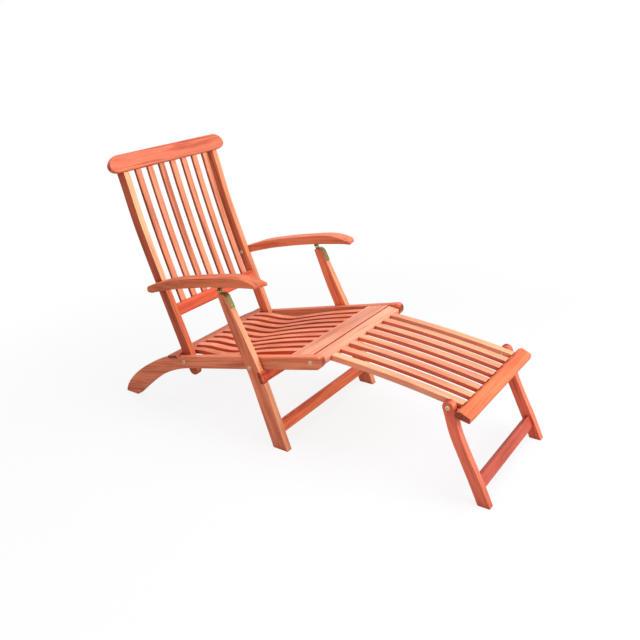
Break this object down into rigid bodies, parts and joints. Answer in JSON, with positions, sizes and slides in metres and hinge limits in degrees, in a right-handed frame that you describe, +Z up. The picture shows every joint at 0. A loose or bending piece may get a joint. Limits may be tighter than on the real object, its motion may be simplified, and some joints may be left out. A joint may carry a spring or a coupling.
{
  "type": "steamer deck chair",
  "caption": "Folding slatted hardwood lounger with curved rear feet, arms hinged to crossing front legs and a swinging leg rest on its own folding legs.",
  "frame": {"origin": "centre of the chair's outline, on the floor", "axes": "+X towards the sitter's feet, +Y to the sitter's left, +Z up"},
  "size_m": [1.5066, 0.5818, 0.9373],
  "materials": {
    "arm_hinge_leaf_left": "satin brass with rubbed highlights",
    "arm_hinge_leaf_right": "satin brass with rubbed highlights",
    "arm_left": "oiled reddish hardwood, satin",
    "arm_pivot_bolt_left": "satin brass with rubbed highlights",
    "arm_pivot_bolt_right": "satin brass with rubbed highlights",
    "arm_right": "oiled reddish hardwood, satin",
    "back_pivot_bolt_left": "satin brass with rubbed highlights",
    "back_pivot_bolt_right": "satin brass with rubbed highlights",
    "back_slat_1": "oiled reddish hardwood, satin",
    "back_slat_2": "oiled reddish hardwood, satin",
    "back_slat_3": "oiled reddish hardwood, satin",
    "back_slat_4": "oiled reddish hardwood, satin",
    "back_slat_5": "oiled reddish hardwood, satin",
    "back_slat_6": "oiled reddish hardwood, satin",
    "back_slat_7": "oiled reddish hardwood, satin",
    "back_stile_left": "oiled reddish hardwood, satin",
    "back_stile_right": "oiled reddish hardwood, satin",
    "crest_rail": "oiled reddish hardwood, satin",
    "front_leg_left": "oiled reddish hardwood, satin",
    "front_leg_right": "oiled reddish hardwood, satin",
    "front_seat_board": "oiled reddish hardwood, satin",
    "hinge_pin_left": "satin brass with rubbed highlights",
    "hinge_pin_right": "satin brass with rubbed highlights",
    "leg_hinge_strap_left": "satin brass with rubbed highlights",
    "leg_hinge_strap_right": "satin brass with rubbed highlights",
    "leg_pivot_bolt_left": "satin brass with rubbed highlights",
    "leg_pivot_bolt_right": "satin brass with rubbed highlights",
    "leg_rest_end_board": "oiled reddish hardwood, satin",
    "leg_rest_leg_bolt_left": "satin brass with rubbed highlights",
    "leg_rest_leg_bolt_right": "satin brass with rubbed highlights",
    "leg_rest_leg_left": "oiled reddish hardwood, satin",
    "leg_rest_leg_right": "oiled reddish hardwood, satin",
    "leg_rest_pivot_bolt_left": "satin brass with rubbed highlights",
    "leg_rest_pivot_bolt_right": "satin brass with rubbed highlights",
    "leg_rest_rear_rail": "oiled reddish hardwood, satin",
    "leg_rest_side_rail_left": "oiled reddish hardwood, satin",
    "leg_rest_side_rail_right": "oiled reddish hardwood, satin",
    "leg_rest_slat_1": "oiled reddish hardwood, satin",
    "leg_rest_slat_2": "oiled reddish hardwood, satin",
    "leg_rest_slat_3": "oiled reddish hardwood, satin",
    "leg_rest_slat_4": "oiled reddish hardwood, satin",
    "leg_rest_slat_5": "oiled reddish hardwood, satin",
    "leg_rest_slat_6": "oiled reddish hardwood, satin",
    "leg_rest_stretcher": "oiled reddish hardwood, satin",
    "lower_back_rail": "oiled reddish hardwood, satin",
    "lower_stretcher": "oiled reddish hardwood, satin",
    "rear_seat_board": "oiled reddish hardwood, satin",
    "seat_rail_left": "oiled reddish hardwood, satin",
    "seat_rail_right": "oiled reddish hardwood, satin",
    "seat_slat_1": "oiled reddish hardwood, satin",
    "seat_slat_2": "oiled reddish hardwood, satin",
    "seat_slat_3": "oiled reddish hardwood, satin",
    "seat_slat_4": "oiled reddish hardwood, satin",
    "seat_slat_5": "oiled reddish hardwood, satin",
    "seat_slat_6": "oiled reddish hardwood, satin",
    "seat_slat_7": "oiled reddish hardwood, satin",
    "seat_slat_8": "oiled reddish hardwood, satin",
    "seat_slat_9": "oiled reddish hardwood, satin",
    "stop_bar": "oiled reddish hardwood, satin"
  },
  "bodies": {
    "seat_frame": {"back_pivot_bolt_left": "back_pivot_bolt_left", "back_pivot_bolt_right": "back_pivot_bolt_right", "front_seat_board": "front_seat_board", "leg_pivot_bolt_left": "leg_pivot_bolt_left", "leg_pivot_bolt_right": "leg_pivot_bolt_right", "leg_rest_pivot_bolt_left": "leg_rest_pivot_bolt_left", "leg_rest_pivot_bolt_right": "leg_rest_pivot_bolt_right", "rear_seat_board": "rear_seat_board", "seat_rail_left": "seat_rail_left", "seat_rail_right": "seat_rail_right", "seat_slat_1": "seat_slat_1", "seat_slat_2": "seat_slat_2", "seat_slat_3": "seat_slat_3", "seat_slat_4": "seat_slat_4", "seat_slat_5": "seat_slat_5", "seat_slat_6": "seat_slat_6", "seat_slat_7": "seat_slat_7", "seat_slat_8": "seat_slat_8", "seat_slat_9": "seat_slat_9"},
    "back": {"arm_pivot_bolt_left": "arm_pivot_bolt_left", "arm_pivot_bolt_right": "arm_pivot_bolt_right", "back_slat_1": "back_slat_1", "back_slat_2": "back_slat_2", "back_slat_3": "back_slat_3", "back_slat_4": "back_slat_4", "back_slat_5": "back_slat_5", "back_slat_6": "back_slat_6", "back_slat_7": "back_slat_7", "back_stile_left": "back_stile_left", "back_stile_right": "back_stile_right", "crest_rail": "crest_rail", "lower_back_rail": "lower_back_rail"},
    "right_arm": {"arm_right": "arm_right", "arm_hinge_leaf_right": "arm_hinge_leaf_right"},
    "left_arm": {"arm_left": "arm_left", "arm_hinge_leaf_left": "arm_hinge_leaf_left"},
    "front_legs": {"front_leg_left": "front_leg_left", "front_leg_right": "front_leg_right", "hinge_pin_left": "hinge_pin_left", "hinge_pin_right": "hinge_pin_right", "leg_hinge_strap_left": "leg_hinge_strap_left", "leg_hinge_strap_right": "leg_hinge_strap_right", "lower_stretcher": "lower_stretcher", "stop_bar": "stop_bar"},
    "leg_rest": {"leg_rest_end_board": "leg_rest_end_board", "leg_rest_leg_bolt_left": "leg_rest_leg_bolt_left", "leg_rest_leg_bolt_right": "leg_rest_leg_bolt_right", "leg_rest_rear_rail": "leg_rest_rear_rail", "leg_rest_side_rail_left": "leg_rest_side_rail_left", "leg_rest_side_rail_right": "leg_rest_side_rail_right", "leg_rest_slat_1": "leg_rest_slat_1", "leg_rest_slat_2": "leg_rest_slat_2", "leg_rest_slat_3": "leg_rest_slat_3", "leg_rest_slat_4": "leg_rest_slat_4", "leg_rest_slat_5": "leg_rest_slat_5", "leg_rest_slat_6": "leg_rest_slat_6"},
    "leg_rest_legs": {"leg_rest_leg_left": "leg_rest_leg_left", "leg_rest_leg_right": "leg_rest_leg_right", "leg_rest_stretcher": "leg_rest_stretcher"}
  },
  "joints": [
    {"name": "back_fold", "type": "hinge", "parent": "seat_frame", "child": "back", "pos_m": [-0.40102, 0, 0.21], "axis": [0, 1, 0], "range_deg": [0, 80]},
    {"name": "front_leg_fold", "type": "hinge", "parent": "seat_frame", "child": "front_legs", "pos_m": [-0.06402, 0, 0.28], "axis": [0, 1, 0], "range_deg": [0, 81.5]},
    {"name": "right_arm_fold", "type": "hinge", "parent": "back", "child": "right_arm", "pos_m": [-0.50388, 0, 0.47495], "axis": [0, 1, 0], "range_deg": [-82.2, 0]},
    {"name": "left_arm_fold", "type": "hinge", "parent": "back", "child": "left_arm", "pos_m": [-0.50388, 0, 0.47495], "axis": [0, 1, 0], "range_deg": [-82.2, 0]},
    {"name": "leg_rest_swing", "type": "hinge", "parent": "seat_frame", "child": "leg_rest", "pos_m": [0.16841, 0, 0.34408], "axis": [0, 1, 0], "range_deg": [0, 95]},
    {"name": "leg_rest_leg_fold", "type": "hinge", "parent": "leg_rest", "child": "leg_rest_legs", "pos_m": [0.61572, 0, 0.29491], "axis": [0, 1, 0], "range_deg": [0, 110]}
  ],
  "couplings": [
    {"joint": "front_leg_fold", "follows": "back_fold", "ratio": 1.0176},
    {"joint": "right_arm_fold", "follows": "back_fold", "ratio": -1.0266},
    {"joint": "left_arm_fold", "follows": "back_fold", "ratio": -1.0266}
  ]
}
